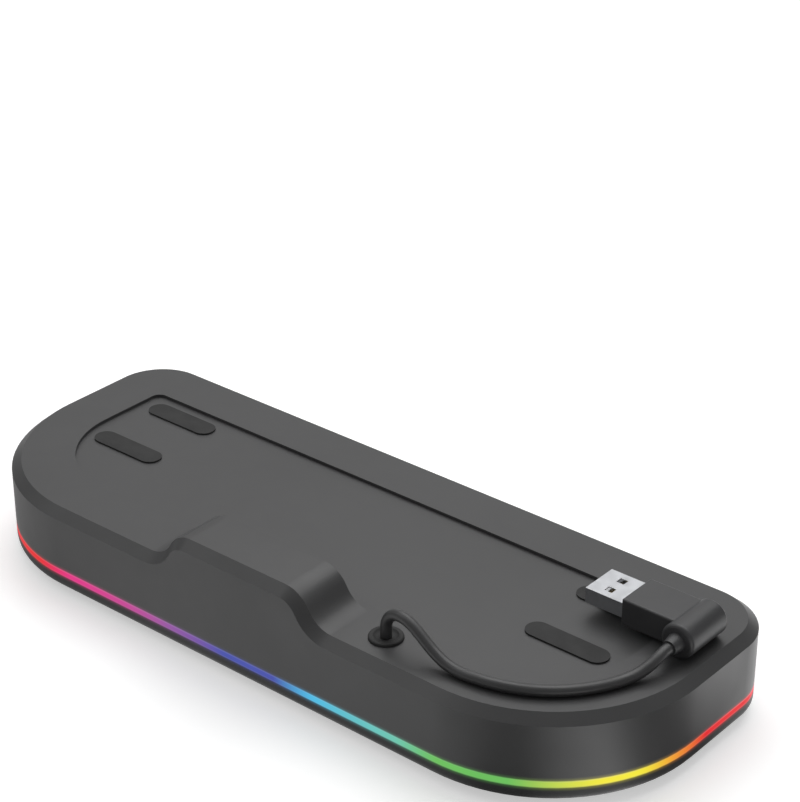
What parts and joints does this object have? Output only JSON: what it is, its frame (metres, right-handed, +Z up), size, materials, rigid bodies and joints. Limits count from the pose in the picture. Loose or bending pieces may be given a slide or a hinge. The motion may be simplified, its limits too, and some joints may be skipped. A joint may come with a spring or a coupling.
{
  "type": "console cooling stand",
  "caption": "Lit plinth for a console dock: a blower inside draws air from below and feeds a raised rear nozzle; a short USB lead powers it.",
  "frame": {"origin": "centre of the stand's footprint, on the surface that its feet stand on", "axes": "+X along the stand towards the USB lead, +Y from the rear wall with the nozzle to the front wall with the button, +Z up"},
  "size_m": [0.236, 0.0907, 0.0387],
  "materials": {
    "shell_plastic": "fine spark-eroded texture, satin",
    "sole_plastic": "satin",
    "light_guide": "frosted",
    "tape": "satin",
    "lamp": "clear",
    "grille_plastic": "satin",
    "silicone": "matt",
    "foam": "open cell",
    "blower_plastic": "glass filled",
    "steel": "ground",
    "bronze": "sintered",
    "magnet": "bonded ferrite",
    "core_steel": "laminated",
    "copper": "enamelled wire",
    "board": "solder mask",
    "chip": "moulded",
    "can": "drawn",
    "connector": "natural",
    "lead": "satin",
    "plug_plastic": "satin",
    "contact": "gold plated"
  },
  "bodies": {
    "case": {"top_shell": "shell_plastic", "bottom_cover": "sole_plastic", "light_guide": "light_guide", "lamp_tape": "tape", "lamps": "lamp", "nozzle_grille": "grille_plastic", "grip_pads": "silicone", "air_duct": "blower_plastic", "intake_seal": "foam", "blower_housing": "blower_plastic", "blower_cover": "blower_plastic", "motor_bearing": "bronze", "stator_core": "core_steel", "stator_coils": "copper", "motor_board": "board", "blower_screws": "steel", "control_board": "board", "controller_chip": "chip", "board_capacitors": "can", "board_connectors": "connector", "board_screws": "steel", "mode_switch": "chip", "case_screws": "steel", "feet": "silicone", "cord_grommet": "silicone", "inner_lead": "lead", "usb_cord": "lead", "plug_relief": "plug_plastic", "plug_body": "plug_plastic", "plug_shell": "steel", "plug_tongue": "connector", "plug_contacts": "contact"},
    "rotor": {"impeller": "blower_plastic", "motor_shaft": "steel", "magnet_ring": "magnet"},
    "button": {"mode_button": "grille_plastic", "switch_plunger": "connector"}
  },
  "joints": [
    {"name": "impeller_spin", "type": "hinge", "parent": "case", "child": "rotor", "pos_m": [0.02734, 0.002, 0.0128], "axis": [0, 0, 1], "continuous": true},
    {"name": "mode_press", "type": "slide", "parent": "case", "child": "button", "axis": [0, -1, 0], "range_m": [0, 0.0003], "stiffness_N_per_m": 400}
  ]
}
